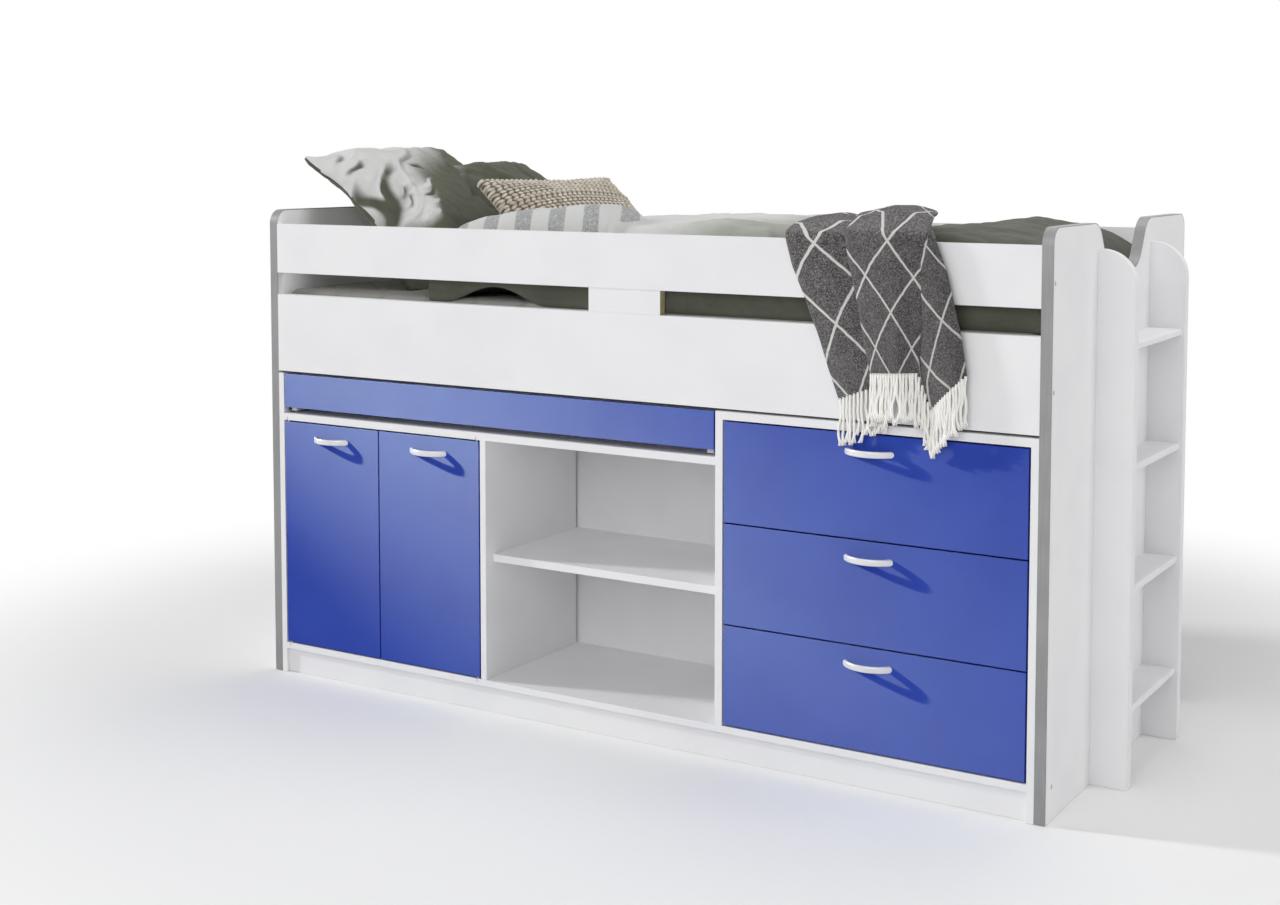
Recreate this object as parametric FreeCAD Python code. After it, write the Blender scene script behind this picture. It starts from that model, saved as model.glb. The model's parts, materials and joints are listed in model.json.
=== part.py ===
import FreeCAD, Part
import math
import os

from FreeCAD import Vector

# Mid-height loft bed with a ladder at its foot end. Under the bed stand a cupboard with two doors,
# an open bay with a shelf, a pull-out desk above both, and a cabinet with three drawers.
# Sizes are in millimetres. While it is drawn, x runs from the headboard's outer face to the foot,
# y from the front edge of the end panels to the wall side, and z from the floor up.

# Mattress and the bed box around it
mattress_l = 2000.0
mattress_w = 900.0
mattress_h = 150.0
mattress_end_gap = 5.0
mattress_side_gap = 3.0
mattress_r = 30.0
rail_t = 22.0

# End panels
end_panel_t = 24.0
edge_band_t = 2.0
edge_band_lift = 1.0
end_corner_r = 35.0
panel_above_rail = 36.0

# Entry notch in the top edge of the footboard, a little forward of the ladder's middle
notch_forward = 22.5
notch_half_top = 174.0
notch_depth = 106.0
notch_slope = 59.0
notch_shoulder_r = 62.0
notch_floor_r = 65.0

# Heights from the floor up
plinth_h = 62.0
board_t = 16.0
top_board_t = 18.0
drawer_clear_h = 680.0
desk_space_h = 84.0
cabinet_to_rail = 6.0
lower_rail_h = 196.0
rail_gap = 55.0
top_rail_h = 124.0

# Spacer block between the front rails
spacer_x = 972.0
spacer_w = 190.0
spacer_t = 20.0
spacer_recess = 2.0

# Slatted base
slat_n = 14
slat_w = 70.0
slat_t = 18.0
slat_end_play = 1.0
cleat_w = 20.0
cleat_h = 30.0
cleat_lift = 10.0

# Bolts through the end panels
bolt_d = 6.0
bolt_len = 62.0
bolt_head_d = 10.0
bolt_head_t = 2.5
bolt_clear = 0.1
rail_bolt_drop = 12.0
base_bolt_y = 36.0

# Ladder
ladder_front_y = 281.0
ladder_clear_w = 355.0
ladder_d = 80.0
ladder_t = 28.0
ladder_h = 1138.0
ladder_top_r = 78.0
step_n = 4
step_first_top = 166.0
step_pitch = 259.0
step_d = 73.0
step_t = 16.0
step_edge_r = 5.0

# Cabinets, from the headboard to the foot
cupboard_w = 623.0
bay_w = 625.0
drawer_side_t = 18.0
cabinet_d = 394.0
back_t = 4.0
plinth_recess = 10.0
divider_back_gap = 8.0
shelf_lift = 282.0
shelf_t = 18.0
shelf_setback = 32.0

# Doors on pivot pins
door_t = 16.0
door_gap = 4.0
pivot_in = 8.0
pivot_back = 5.0
pin_d = 6.0
pin_in_door = 16.0
pin_fit = 0.05
pin_end_gap = 0.3
bush_d = 10.0
bush_h = 8.0
bush_fit = 0.02

# Bow handles
handle_len = 112.0
handle_out = 28.0
handle_grip_len = 92.0
handle_grip_out = 21.0
handle_h = 14.0
handle_r = 3.0
handle_end_r = 6.5
handle_drop = 38.0

# Drawers
drawer_names = ("top", "middle", "bottom")
drawer_gap = 4.0
drawer_front_t = 16.0
box_wall = 12.0
box_h = 150.0
box_back_gap = 28.0
box_lift = 12.0
bottom_t = 4.0
bottom_lift = 10.0
groove_d = 6.0
groove_clear = 0.2

# Runners: a channel on the fixed side and a smaller one sliding in it
runner_space = 13.0
runner_h = 35.0
runner_flange = 11.0
runner_wall = 1.5
runner_play = 0.4
runner_setback = 2.0
runner_lift = 20.0

# Pull-out desk
desk_gap = 4.0
desk_strip_h = 85.0
desk_strip_t = 16.0
desk_top_drop = 1.5
desk_board_t = 16.0
desk_board_d = 560.0
desk_rail_t = 16.0
desk_rail_short = 20.0
desk_rail_lift = 5.0
desk_runner_lift = 3.0
desk_runner_end_gap = 4.0

# Bedding
soft_gap = 0.3
soft_share = 1.006
seam_t = 14.0
bed_lean = 40.0
front_pillow_size = (530.0, 540.0, 155.0)
front_pillow_at = (240.0, 396.0, 172.0)
front_pillow_draw = 22.0
rear_pillow_size = (420.0, 540.0, 140.0)
rear_pillow_at = (345.0, 695.0, 132.0)
rear_pillow_draw = 20.0
knitted_size = (490.0, 420.0, 120.0)
knitted_at = (631.0, 545.0, 133.0)
knitted_yaw = -9.0
knitted_draw = 14.0

# Duvet: where its sections stand and how high each one is crowned
duvet_front = 36.0
duvet_back = 32.0
duvet_foot_gap = 8.0
duvet_shoulder = 70.0
duvet_edge_drop = 60.0
duvet_stations = (
    (830.0, 90.0), (900.0, 185.0), (1050.0, 180.0), (1320.0, 185.0),
    (1550.0, 178.0), (1740.0, 198.0), (1860.0, 176.0), (1960.0, 132.0),
)
duvet_end_crown = 84.0
fold_back_w = 260.0
fold_stations = ((500.0, 110.0), (580.0, 190.0), (720.0, 218.0), (880.0, 235.0), (985.0, 190.0))
fold_end_x = 1030.0
fold_end_crown = 110.0

# Throw over the front rails: the x of its left corner, its left and right edge at three heights
# counted from there, and its slanted lower hems as (distance along, drop from the rail's top)
throw_x = 1485.0
throw_fold_n = 5
throw_t = 6.0
throw_bulge = 14.0
throw_saddle_t = 9.0
throw_tuck = 65.0
throw_top_span = (0.0, 353.0)
throw_mid_span = (55.0, 383.0)
throw_low_span = (115.0, 417.0)
throw_mid_drop = 157.0
throw_low_drop = 357.0
throw_hem = ((409.0, 270.0), (300.0, 346.0), (280.0, 295.0), (193.0, 309.0), (109.0, 321.0))

# Places worked out from the sizes above
inner_l = mattress_l + 2 * mattress_end_gap
bed_l = inner_l + 2 * end_panel_t
bed_d = mattress_w + 2 * (mattress_side_gap + rail_t)
inner_x0 = end_panel_t
inner_x1 = bed_l - end_panel_t

base_z0 = plinth_h
base_z1 = base_z0 + board_t
drawer_top_z0 = base_z1 + drawer_clear_h
drawer_top_z1 = drawer_top_z0 + top_board_t
low_top_z1 = drawer_top_z0 - desk_space_h
low_top_z0 = low_top_z1 - top_board_t
lower_rail_z0 = drawer_top_z1 + cabinet_to_rail
lower_rail_z1 = lower_rail_z0 + lower_rail_h
top_rail_z0 = lower_rail_z1 + rail_gap
top_rail_z1 = top_rail_z0 + top_rail_h
panel_h = top_rail_z1 + panel_above_rail

left_side_x1 = inner_x0 + board_t
divider_x0 = left_side_x1 + cupboard_w
divider_x1 = divider_x0 + board_t
drawer_side_x0 = divider_x1 + bay_w
drawer_side_x1 = drawer_side_x0 + drawer_side_t
right_side_x0 = inner_x1 - board_t
cabinet_back_y = cabinet_d + back_t

cleat_top = lower_rail_z0 + cleat_lift + cleat_h
slat_top = cleat_top + slat_t
mattress_z0 = slat_top + soft_gap
mattress_top = mattress_z0 + mattress_h

ladder_rear_y = ladder_front_y + ladder_t + ladder_clear_w
notch_mid_y = ladder_front_y + ladder_t + ladder_clear_w / 2 - notch_forward

pivot_y = pivot_back
door_w = (cupboard_w - 3 * door_gap) / 2
door_z0 = base_z1 + door_gap
door_z1 = low_top_z0 - door_gap

drawer_n = len(drawer_names)
box_d = cabinet_d - box_back_gap - drawer_front_t
drawer_front_h = (drawer_clear_h - (drawer_n + 1) * drawer_gap) / drawer_n
desk_z1 = drawer_top_z1 - desk_top_drop
desk_z0 = desk_z1 - desk_strip_h
desk_rail_d = desk_board_d - desk_rail_short

nodes = {}


class Outline:
    """Closed outline of straight runs and arcs in one plane, pushed out to a solid."""

    def __init__(self, plane):
        self.plane = plane
        self.edges = []
        self.first = None
        self.pen = None

    def go(self, a, b):
        self.line_to(self.plane(a, b))

    def line_to(self, point):
        if self.pen is None:
            self.first = point
        elif point.distanceToPoint(self.pen) > 1e-6:
            self.edges.append(Part.LineSegment(self.pen, point).toShape())
        self.pen = point

    def turn(self, ca, cb, radius, start, end):
        """Arc about (ca, cb) from the start angle to the end angle, in degrees."""
        points = []
        for angle in (start, (start + end) / 2, end):
            turned = math.radians(angle)
            points.append(self.plane(ca + radius * math.cos(turned), cb + radius * math.sin(turned)))
        self.line_to(points[0])
        self.edges.append(Part.Arc(*points).toShape())
        self.pen = points[2]

    def wire(self):
        self.line_to(self.first)
        return Part.Wire(self.edges)

    def solid(self, push):
        return Part.Face(self.wire()).extrude(push)


def yz_plane(x):
    return lambda a, b: Vector(x, a, b)


def xz_plane(y):
    return lambda a, b: Vector(a, y, b)


def xy_plane(z):
    return lambda a, b: Vector(a, b, z)


def board(x0, y0, z0, x1, y1, z1):
    return Part.makeBox(x1 - x0, y1 - y0, z1 - z0, Vector(x0, y0, z0))


def polygon_solid(plane, points, push):
    out = Outline(plane)
    for a, b in points:
        out.go(a, b)
    return out.solid(push)


def round_edges(shape, radius, wanted):
    return shape.makeFillet(radius, [edge for edge in shape.Edges if wanted(edge.CenterOfMass)])


# End panels, their edge bands and the rails


def add_notch(out, inset):
    """Entry notch from the front shoulder to the rear one, drawn with its edge set back by inset."""
    slope = math.radians(notch_slope)
    shoulder = notch_half_top + notch_shoulder_r * math.tan(slope / 2)
    fall = (notch_depth - notch_floor_r) * math.cos(slope) + notch_floor_r
    floor = notch_half_top - fall / math.sin(slope)
    shoulder_z = panel_h - notch_shoulder_r
    floor_z = panel_h - notch_depth + notch_floor_r
    shoulder_r = notch_shoulder_r - inset
    floor_r = notch_floor_r + inset
    out.turn(notch_mid_y - shoulder, shoulder_z, shoulder_r, 90, 90 - notch_slope)
    out.turn(notch_mid_y - floor, floor_z, floor_r, 270 - notch_slope, 270)
    out.turn(notch_mid_y + floor, floor_z, floor_r, 270, 270 + notch_slope)
    out.turn(notch_mid_y + shoulder, shoulder_z, shoulder_r, 90 + notch_slope, 90)


def end_board(x, inset, foot_z, notched):
    out = Outline(yz_plane(x))
    out.go(inset, foot_z)
    out.turn(end_corner_r, panel_h - end_corner_r, end_corner_r - inset, 180, 90)
    if notched:
        add_notch(out, inset)
    out.turn(bed_d - end_corner_r, panel_h - end_corner_r, end_corner_r - inset, 90, 0)
    out.go(bed_d - inset, foot_z)
    return out.solid(Vector(end_panel_t, 0, 0))


def end_bolt(at_foot, y, z, clear):
    """Flat-headed bolt entered from an end panel's outer face, or its hole where clear is not zero."""
    start = Vector(bed_l if at_foot else 0, y, z)
    along = Vector(-1 if at_foot else 1, 0, 0)
    head = Part.makeCylinder(bolt_head_d / 2 + clear, bolt_head_t, start, along)
    shank = Part.makeCylinder(bolt_d / 2 + clear, bolt_head_t + bolt_len + clear, start, along)
    return head.fuse(shank).removeSplitter()


def end_bolts(clear):
    rail_y = (rail_t / 2, bed_d - rail_t / 2)
    rail_z = ((lower_rail_z0 + lower_rail_z1) / 2, (top_rail_z0 + top_rail_z1) / 2)
    places = [(y, z - rail_bolt_drop) for y in rail_y for z in rail_z]
    places.append((base_bolt_y, base_z0 + board_t / 2))
    return [end_bolt(at_foot, y, z, clear) for at_foot in (False, True) for y, z in places]


bolt_holes = end_bolts(bolt_clear)


def build_end_panels():
    for name, x, notched in (("headboard", 0.0, False), ("footboard", inner_x1, True)):
        core = end_board(x, edge_band_t, 0, notched)
        nodes[name + "_edge_band"] = end_board(x, 0, edge_band_lift, notched).cut(core)
        nodes[name + "_panel"] = core.cut(bolt_holes)
    nodes["rail_bolts"] = Part.makeCompound(end_bolts(0))


def build_rails():
    for side, y0 in (("front", 0.0), ("rear", bed_d - rail_t)):
        lower = board(inner_x0, y0, lower_rail_z0, inner_x1, y0 + rail_t, lower_rail_z1)
        top = board(inner_x0, y0, top_rail_z0, inner_x1, y0 + rail_t, top_rail_z1)
        nodes[side + "_lower_rail"] = lower.cut(bolt_holes)
        nodes[side + "_top_rail"] = top.cut(bolt_holes)
    nodes["rail_spacer_block"] = board(
        spacer_x, spacer_recess, lower_rail_z1, spacer_x + spacer_w, spacer_recess + spacer_t, top_rail_z0
    )


def build_slats():
    cleats = []
    for y0 in (rail_t, bed_d - rail_t - cleat_w):
        cleats.append(board(inner_x0, y0, cleat_top - cleat_h, inner_x1, y0 + cleat_w, cleat_top))
    nodes["slat_cleats"] = Part.makeCompound(cleats)
    pitch = inner_l / slat_n
    slats = []
    for i in range(slat_n):
        x0 = inner_x0 + (i + 0.5) * pitch - slat_w / 2
        y0 = rail_t + slat_end_play
        slats.append(board(x0, y0, cleat_top, x0 + slat_w, bed_d - y0, slat_top))
    nodes["bed_slats"] = Part.makeCompound(slats)


# Ladder outside the footboard


def ladder_upright(y):
    out = Outline(xz_plane(y))
    out.go(bed_l, 0)
    out.go(bed_l + ladder_d, 0)
    out.turn(bed_l + ladder_d - ladder_top_r, ladder_h - ladder_top_r, ladder_top_r, 0, 90)
    out.go(bed_l, ladder_h)
    return out.solid(Vector(0, ladder_t, 0))


def build_ladder():
    nodes["ladder_front_upright"] = ladder_upright(ladder_front_y)
    nodes["ladder_rear_upright"] = ladder_upright(ladder_rear_y)
    y0 = ladder_front_y + ladder_t
    x1 = bed_l + step_d
    steps = []
    for i in range(step_n):
        top = step_first_top + i * step_pitch
        step = board(bed_l, y0, top - step_t, x1, ladder_rear_y, top)
        steps.append(round_edges(
            step, step_edge_r, lambda at: at.x > x1 - 1 and y0 + 1 < at.y < ladder_rear_y - 1
        ))
    nodes["ladder_steps"] = Part.makeCompound(steps)


# Cabinets under the bed


def pivot_places():
    left = left_side_x1 + door_gap + pivot_in
    right = divider_x0 - door_gap - pivot_in
    return {"left": left, "right": right}


def bush_seat(x, z, up, clear):
    """Round seat of a pivot bush, sunk from z upwards or downwards."""
    way = Vector(0, 0, 1 if up else -1)
    return Part.makeCylinder(bush_d / 2 + clear, bush_h, Vector(x, pivot_y, z), way)


def build_bushes():
    bushes = []
    for x in pivot_places().values():
        bore_z = Vector(x, pivot_y, base_z1 - bush_h)
        bore = Part.makeCylinder(pin_d / 2 + pin_fit, low_top_z0 + 2 * bush_h, bore_z)
        bushes.append(bush_seat(x, base_z1, False, 0).cut(bore))
        bushes.append(bush_seat(x, low_top_z0, True, 0).cut(bore))
    nodes["door_pivot_bushes"] = Part.makeCompound(bushes)


def build_low_cabinet():
    side = board(inner_x0, 0, 0, left_side_x1, cabinet_back_y, drawer_top_z1)
    base = board(left_side_x1, 0, base_z0, right_side_x0, cabinet_back_y, base_z1)
    top = board(left_side_x1, 0, low_top_z0, drawer_side_x0, cabinet_d, low_top_z1)
    lower_seats = [bush_seat(x, base_z1, False, bush_fit) for x in pivot_places().values()]
    upper_seats = [bush_seat(x, low_top_z0, True, bush_fit) for x in pivot_places().values()]
    nodes["cabinet_left_side"] = side.cut(bolt_holes)
    nodes["cabinet_base"] = base.cut(bolt_holes + lower_seats)
    nodes["cabinet_top"] = top.cut(upper_seats)
    nodes["cupboard_divider"] = board(
        divider_x0, 0, base_z1, divider_x1, cabinet_d - divider_back_gap, low_top_z0
    )
    nodes["cabinet_back"] = board(
        left_side_x1, cabinet_d, base_z1, drawer_side_x0, cabinet_back_y, low_top_z1
    )
    shelf_z = base_z1 + shelf_lift
    nodes["open_shelf"] = board(
        divider_x1, shelf_setback, shelf_z, drawer_side_x0, cabinet_d, shelf_z + shelf_t
    )
    plinths = []
    for y0 in (plinth_recess, cabinet_back_y - board_t):
        plinths.append(board(left_side_x1, y0, 0, right_side_x0, y0 + board_t, base_z0))
    nodes["plinth_boards"] = Part.makeCompound(plinths)


def build_drawer_cabinet():
    right = board(right_side_x0, 0, 0, inner_x1, cabinet_back_y, drawer_top_z0)
    nodes["drawer_cabinet_left_side"] = board(
        drawer_side_x0, 0, base_z1, drawer_side_x1, cabinet_back_y, drawer_top_z0
    )
    nodes["drawer_cabinet_right_side"] = right.cut(bolt_holes)
    nodes["drawer_cabinet_top"] = board(
        drawer_side_x0, 0, drawer_top_z0, inner_x1, cabinet_back_y, drawer_top_z1
    )
    nodes["drawer_cabinet_back"] = board(
        drawer_side_x1, cabinet_d, base_z1, right_side_x0, cabinet_back_y, drawer_top_z0
    )


# Handles, doors, drawers and desk


def bow(out, mid_x, length, reach, backwards):
    """Arc of the given length and reach, standing out from the front plane."""
    radius = ((length / 2) ** 2 + reach**2) / (2 * reach)
    half = math.degrees(math.asin(length / 2 / radius))
    start, end = 270 - half, 270 + half
    if backwards:
        start, end = end, start
    out.turn(mid_x, radius - reach, radius, start, end)


def handle_outline(mid_x, mid_z):
    """Front outline of a handle with rounded ends, pushed out as far as the handle stands."""
    across = handle_len / 2 - handle_end_r
    up = handle_h / 2 - handle_end_r
    out = Outline(xz_plane(0))
    for way_x, way_z, start in ((1, 1, 90), (1, -1, 0), (-1, -1, -90), (-1, 1, -180)):
        out.turn(mid_x + way_x * across, mid_z + way_z * up, handle_end_r, start, start - 90)
    return out.solid(Vector(0, -handle_out, 0))


def bow_handle(mid_x, top_z):
    """Bow handle with rounded ends whose feet sit on the front plane, below the top edge of its front."""
    mid_z = top_z - handle_drop
    out = Outline(xy_plane(mid_z - handle_h / 2))
    bow(out, mid_x, handle_len, handle_out, False)
    bow(out, mid_x, handle_grip_len, handle_grip_out, True)
    band = out.solid(Vector(0, 0, handle_h))
    long_edges = [e for e in band.Edges if e.Curve.TypeId == "Part::GeomCircle"]
    return band.makeFillet(handle_r, long_edges).common(handle_outline(mid_x, mid_z))


def door_pins(x):
    """Pivot pins standing out of a door's bottom and top edge, and the holes that take them."""
    reach = door_gap + bush_h - pin_end_gap
    length = pin_in_door + reach
    pins = []
    holes = []
    for z, way in ((door_z0, 1), (door_z1, -1)):
        along = Vector(0, 0, way)
        pins.append(Part.makeCylinder(pin_d / 2, length, Vector(x, pivot_y, z - way * reach), along))
        holes.append(Part.makeCylinder(pin_d / 2 + pin_fit, pin_in_door, Vector(x, pivot_y, z), along))
    return pins, holes


def build_doors():
    first_x = left_side_x1 + door_gap
    starts = {"left": first_x, "right": first_x + door_w + door_gap}
    for side, x0 in starts.items():
        pins, holes = door_pins(pivot_places()[side])
        panel = board(x0, 0, door_z0, x0 + door_w, door_t, door_z1)
        nodes[side + "_door_panel"] = panel.cut(holes)
        nodes[side + "_door_pins"] = Part.makeCompound(pins)
        nodes[side + "_door_handle"] = bow_handle(x0 + door_w / 2, door_z1)


def runner(x, way, z, y0, y1, profile):
    """Runner member beside a cabinet side at x, opening towards way (1 or -1)."""
    points = [(x + way * a, z + b) for a, b in profile]
    return polygon_solid(xz_plane(y0), points, Vector(0, y1 - y0, 0))


def fixed_profile():
    w, h, f = runner_wall, runner_h, runner_flange
    return ((0, 0), (f, 0), (f, w), (w, w), (w, h - w), (f, h - w), (f, h), (0, h))


def moving_profile():
    w, s = runner_wall, runner_space
    a = runner_wall + runner_play
    h = runner_h - a
    return ((s, a), (a, a), (a, a + w), (s - w, a + w), (s - w, h - w), (a, h - w), (a, h), (s, h))


def runner_pair(x0, x1, z, y0, y1, profile):
    """Two facing runner members, one at each side of an opening from x0 to x1."""
    return [runner(x0, 1, z, y0, y1, profile), runner(x1, -1, z, y0, y1, profile)]


def drawer_box(z0):
    """Folded side-back-side wrap of a drawer and the bottom held in its groove."""
    x0 = drawer_side_x1 + runner_space
    x1 = right_side_x0 - runner_space
    y0 = drawer_front_t
    y1 = y0 + box_d
    inside = (x0 + box_wall, x1 - box_wall, y1 - box_wall)
    plan = (
        (x0, y0), (inside[0], y0), (inside[0], inside[2]), (inside[1], inside[2]),
        (inside[1], y0), (x1, y0), (x1, y1), (x0, y1),
    )
    wrap = polygon_solid(xy_plane(z0), plan, Vector(0, 0, box_h))
    groove_z = z0 + bottom_lift
    bottom = board(
        inside[0] - groove_d, y0, groove_z, inside[1] + groove_d, inside[2] + groove_d, groove_z + bottom_t
    )
    c = groove_clear
    groove = board(
        inside[0] - groove_d - c, y0, groove_z,
        inside[1] + groove_d + c, inside[2] + groove_d + c, groove_z + bottom_t + c,
    )
    return wrap.cut(groove), bottom


def build_drawers():
    x0 = drawer_side_x1 + drawer_gap
    x1 = right_side_x0 - drawer_gap
    fixed = []
    for i, name in enumerate(drawer_names):
        z0 = base_z1 + drawer_gap + (drawer_n - 1 - i) * (drawer_front_h + drawer_gap)
        z1 = z0 + drawer_front_h
        wrap, bottom = drawer_box(z0 + box_lift)
        runner_z = z0 + box_lift + runner_lift
        runner_y0 = drawer_front_t + runner_setback
        runner_y1 = drawer_front_t + box_d
        sides = (drawer_side_x1, right_side_x0, runner_z)
        nodes[name + "_drawer_front"] = board(x0, 0, z0, x1, drawer_front_t, z1)
        nodes[name + "_drawer_handle"] = bow_handle((x0 + x1) / 2, z1)
        nodes[name + "_drawer_box"] = wrap
        nodes[name + "_drawer_bottom"] = bottom
        moving = runner_pair(*sides, drawer_front_t, runner_y1, moving_profile())
        nodes[name + "_drawer_runners"] = Part.makeCompound(moving)
        fixed += runner_pair(*sides, runner_y0, runner_y1, fixed_profile())
    nodes["drawer_fixed_runners"] = Part.makeCompound(fixed)


def build_desk():
    x0 = left_side_x1 + desk_gap
    x1 = drawer_side_x0 - desk_gap
    y0 = desk_strip_t
    under = desk_z1 - desk_board_t
    nodes["desk_front_strip"] = board(x0, 0, desk_z0, x1, y0, desk_z1)
    nodes["desk_board"] = board(x0, y0, under, x1, y0 + desk_board_d, desk_z1)
    rail_z = low_top_z1 + desk_rail_lift
    rails = []
    for rail_x in (left_side_x1 + runner_space, drawer_side_x0 - runner_space - desk_rail_t):
        rails.append(board(rail_x, y0, rail_z, rail_x + desk_rail_t, y0 + desk_rail_d, under))
    nodes["desk_side_rails"] = Part.makeCompound(rails)
    runner_z = low_top_z1 + desk_runner_lift
    sides = (left_side_x1, drawer_side_x0, runner_z)
    fixed = runner_pair(
        *sides, y0 + runner_setback, cabinet_d - desk_runner_end_gap, fixed_profile()
    )
    moving = runner_pair(*sides, y0, y0 + desk_rail_d, moving_profile())
    nodes["desk_fixed_runners"] = Part.makeCompound(fixed)
    nodes["desk_moving_runners"] = Part.makeCompound(moving)


# Bedding


def cushion(width, height, thick, draw_in):
    """Stuffed cushion lying flat about the origin: crowned, its long sides drawn in between the corners."""
    sections = []
    for share, full in ((-1.0, 0.0), (-0.62, 0.82), (0.0, 1.0), (0.62, 0.82), (1.0, 0.0)):
        x = share * width / 2
        side = height / 2 - draw_in * full
        rise = seam_t / 2 + (thick - seam_t) / 2 * full
        a = Vector(x, -side, 0)
        b = Vector(x, side, 0)
        crown = Part.Arc(a, Vector(x, 0, rise), b).toShape()
        belly = Part.Arc(b, Vector(x, 0, -rise), a).toShape()
        sections.append(Part.Wire([crown, belly]))
    return Part.makeLoft(sections, True, False)


def laid(shape, yaw, place):
    """Lean a flat cushion back against the head end, turn it and put it in its place on the mattress."""
    shape.rotate(Vector(0, 0, 0), Vector(0, 0, 1), 90)
    shape.rotate(Vector(0, 0, 0), Vector(0, 1, 0), bed_lean)
    shape.rotate(Vector(0, 0, 0), Vector(0, 0, 1), yaw)
    shape.translate(Vector(place[0], place[1], mattress_top + place[2]))
    return shape


def grown(shape):
    """Copy of a soft shape a little larger, to keep its neighbours clear of it."""
    copy = shape.copy()
    copy.scale(soft_share, shape.BoundBox.Center)
    return copy


def duvet_section(x, crown, y0, y1):
    """Cross-section of the duvet: flat below, rounded sides and a crowned top."""
    z0 = mattress_top + soft_gap
    edge_z = z0 + crown - min(duvet_edge_drop, crown / 2)
    side_z = (z0 + edge_z) / 2
    lean = duvet_shoulder / 4
    a = Vector(x, y0 + lean, z0)
    b = Vector(x, y0 + duvet_shoulder, edge_z)
    c = Vector(x, y1 - duvet_shoulder, edge_z)
    d = Vector(x, y1 - lean, z0)
    front = Part.Arc(a, Vector(x, y0 + lean / 2, side_z), b).toShape()
    top = Part.Arc(b, Vector(x, (y0 + y1) / 2, z0 + crown), c).toShape()
    back = Part.Arc(c, Vector(x, y1 - lean / 2, side_z), d).toShape()
    under = Part.LineSegment(d, a).toShape()
    return Part.Wire([front, top, back, under])


def throw_section(drop, span):
    """Level section of the hanging throw: straight against the rail, scalloped by its folds in front."""
    x0 = throw_x + span[0]
    x1 = throw_x + span[1]
    out = Outline(xy_plane(top_rail_z1 - drop))
    out.go(x1, -soft_gap)
    out.go(x0, -soft_gap)
    out.go(x0, -throw_t)
    step = (x1 - x0) / throw_fold_n
    radius = (step**2 / 4 + throw_bulge**2) / (2 * throw_bulge)
    half = math.degrees(math.asin(step / 2 / radius))
    for i in range(throw_fold_n):
        out.turn(x0 + (i + 0.5) * step, radius - throw_bulge - throw_t, radius, 270 - half, 270 + half)
    return out.wire()


def build_throw():
    sections = [
        throw_section(throw_low_drop, throw_low_span),
        throw_section(throw_mid_drop, throw_mid_span),
        throw_section(throw_t, throw_top_span),
    ]
    hanging = Part.makeLoft(sections, True, True)
    hem = [(throw_top_span[0], throw_t), (throw_top_span[1], throw_t)] + list(throw_hem)
    hem = [(throw_x + along, top_rail_z1 - drop) for along, drop in hem]
    outline = polygon_solid(xz_plane(-handle_out), hem, Vector(0, handle_out, 0))
    top_z = top_rail_z1 - throw_t
    over_z = top_rail_z1 + soft_gap
    saddle_z = over_z + throw_saddle_t
    back_y = rail_t + soft_gap
    profile = (
        (-soft_gap, top_z), (-soft_gap, over_z), (back_y, over_z), (back_y, over_z - throw_tuck),
        (back_y + throw_saddle_t, over_z - throw_tuck), (back_y + throw_saddle_t, over_z),
        (back_y, saddle_z), (-throw_t, saddle_z), (-throw_t - throw_bulge, over_z),
        (-throw_t - throw_bulge, top_z),
    )
    width = throw_top_span[1] - throw_top_span[0]
    saddle = polygon_solid(yz_plane(throw_x + throw_top_span[0]), profile, Vector(width, 0, 0))
    nodes["throw"] = hanging.common(outline).fuse(saddle).removeSplitter()


def build_bedding():
    mattress = board(
        inner_x0 + mattress_end_gap, rail_t + mattress_side_gap, mattress_z0,
        inner_x1 - mattress_end_gap, bed_d - rail_t - mattress_side_gap, mattress_top,
    )
    upright = [e for e in mattress.Edges if abs(e.tangentAt(e.FirstParameter).z) > 0.9]
    nodes["mattress"] = mattress.makeFillet(mattress_r, upright)

    floor = board(0, 0, mattress_top - mattress_h, bed_l, bed_d, mattress_top + soft_gap)
    front = laid(cushion(*front_pillow_size, front_pillow_draw), 0, front_pillow_at).cut(floor)
    rear = laid(cushion(*rear_pillow_size, rear_pillow_draw), 0, rear_pillow_at).cut([floor, grown(front)])
    knitted = laid(cushion(*knitted_size, knitted_draw), knitted_yaw, knitted_at)
    knitted = knitted.cut([floor, grown(front), grown(rear)])
    nodes["front_pillow"] = front
    nodes["rear_pillow"] = rear
    nodes["knitted_cushion"] = knitted

    spread = [duvet_section(x, crown, duvet_front, bed_d - duvet_back) for x, crown in duvet_stations]
    foot_x = inner_x1 - duvet_foot_gap
    spread.append(duvet_section(foot_x, duvet_end_crown, duvet_front, bed_d - duvet_back))
    fold_y1 = duvet_front + fold_back_w
    fold = [duvet_section(x, crown, duvet_front, fold_y1) for x, crown in fold_stations]
    fold.append(duvet_section(fold_end_x, fold_end_crown, duvet_front, fold_y1))
    duvet = Part.makeLoft(spread, True, False).fuse(Part.makeLoft(fold, True, False))
    nodes["duvet"] = duvet.cut([grown(s) for s in (front, rear, knitted)])


def main():
    build_end_panels()
    build_rails()
    build_slats()
    build_ladder()
    build_low_cabinet()
    build_bushes()
    build_drawer_cabinet()
    build_doors()
    build_drawers()
    build_desk()
    build_throw()
    build_bedding()
    os.makedirs("parts", exist_ok=True)
    # The finished bed stands on its floor plane, centred between its outermost points
    to_middle = Vector(-(bed_l + ladder_d) / 2, -(bed_d - handle_out) / 2, 0)
    for name, shape in nodes.items():
        shape.translate(to_middle)
        shape.exportStep("parts/%s.step" % name)
        print("%-28s %d solids  %.0f mm3  valid %s" % (name, len(shape.Solids), shape.Volume, shape.isValid()))
    print(len(nodes), "nodes")


main()
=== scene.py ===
import json
import math

import bmesh
import bpy
from mathutils import Matrix, Vector, noise


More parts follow.
